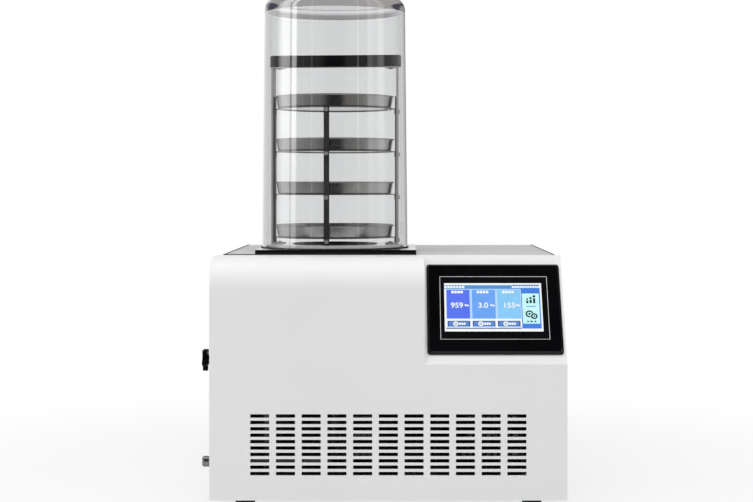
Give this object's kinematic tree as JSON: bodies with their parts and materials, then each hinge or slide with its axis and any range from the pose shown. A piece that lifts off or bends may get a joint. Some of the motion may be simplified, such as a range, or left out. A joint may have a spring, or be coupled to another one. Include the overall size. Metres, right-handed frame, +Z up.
{
  "type": "benchtop freeze dryer",
  "caption": "Benchtop freeze dryer: slotted case with a sloped touch panel, and a clear bell over a handled stand of round trays that seats above a cold trap.",
  "frame": {"origin": "on the bench, under the middle of the outline's bounding box", "axes": "+X to the right of someone who faces the front, +Y to the back, +Z up"},
  "size_m": [0.5886, 0.594, 0.833],
  "materials": {
    "front_shell": "satin",
    "case_paint": "satin",
    "base_zinc": "satin",
    "foot_rubber": "matte",
    "case_screws": "satin",
    "bezel_black": "gloss",
    "screen": "gloss",
    "housing_black": "matte",
    "seat_black": "gloss",
    "gasket_rubber": "matte",
    "bell_tube": "gloss",
    "bell_lid": "gloss",
    "trap_steel": "brushed",
    "copper": "satin",
    "foam": "matte",
    "guide_steel": "brushed",
    "stand_plate": "brushed",
    "upright_steel": "brushed",
    "rail_dark": "satin",
    "handle_black": "satin",
    "stand_screw": "satin",
    "ring_steel": "satin",
    "tray_steel": "brushed",
    "valve_steel": "satin",
    "knob_black": "gloss",
    "hose_silicone": "satin",
    "drain_steel": "satin",
    "vacuum_steel": "satin",
    "compressor_black": "satin",
    "grommet_rubber": "matte",
    "condenser_black": "satin",
    "motor_paint": "satin",
    "fan_black": "satin",
    "drier_brass": "satin",
    "socket_black": "satin",
    "rocker_red": "gloss",
    "control_grey": "satin"
  },
  "bodies": {
    "case": {"front_panel": "front_shell", "top_cover": "case_paint", "cover_sides": "case_paint", "rear_panel": "case_paint", "base_pan": "base_zinc", "feet": "foot_rubber", "panel_screws": "case_screws", "hmi_bezel": "bezel_black", "hmi_screen": "screen", "hmi_housing": "housing_black", "seat_plate": "seat_black", "bell_gasket": "gasket_rubber", "chamber_tube": "bell_tube", "chamber_lid": "bell_lid", "trap_well": "trap_steel", "evaporator_coil": "copper", "trap_insulation": "foam", "trap_cradle": "base_zinc", "guide_tube": "guide_steel", "stand_base": "stand_plate", "stand_upright_left": "upright_steel", "stand_upright_right": "upright_steel", "stand_rail_left": "rail_dark", "stand_rail_right": "rail_dark", "stand_post_front": "rail_dark", "stand_handle": "handle_black", "stand_screws": "stand_screw", "support_ring_1": "ring_steel", "support_ring_2": "ring_steel", "support_ring_3": "ring_steel", "support_ring_4": "ring_steel", "tray_1": "tray_steel", "tray_2": "tray_steel", "tray_3": "tray_steel", "tray_4": "tray_steel", "valve_body": "valve_steel", "valve_hose": "hose_silicone", "drain_fitting": "drain_steel", "drain_hose": "hose_silicone", "vacuum_port": "vacuum_steel", "vacuum_pipe": "vacuum_steel", "vacuum_gauge": "vacuum_steel", "compressor": "compressor_black", "compressor_grommets": "grommet_rubber", "condenser_fins": "condenser_black", "condenser_tubes": "condenser_black", "fan_shroud": "base_zinc", "fan_motor": "motor_paint", "filter_drier": "drier_brass", "suction_pipe": "copper", "discharge_pipe": "copper", "liquid_pipe": "copper", "expansion_pipe": "copper", "power_inlet": "socket_black", "switch_frame": "socket_black", "pump_socket": "socket_black", "control_box": "control_grey"},
    "knob": {"valve_knob": "knob_black"},
    "fan": {"fan_rotor": "fan_black"},
    "rocker": {"switch_rocker": "rocker_red"}
  },
  "joints": [
    {"name": "knob_turn", "type": "hinge", "parent": "case", "child": "knob", "pos_m": [-0.29, -0.147, 0.2246], "axis": [-1, 0, 0], "range_deg": [0, 360]},
    {"name": "fan_spin", "type": "hinge", "parent": "case", "child": "fan", "pos_m": [0.06435, -0.207, 0.1165], "axis": [0, 1, 0], "continuous": true},
    {"name": "rocker_tip", "type": "hinge", "parent": "case", "child": "rocker", "pos_m": [0.17435, 0.259, 0.075], "axis": [1, 0, 0], "range_deg": [0, 16]}
  ]
}
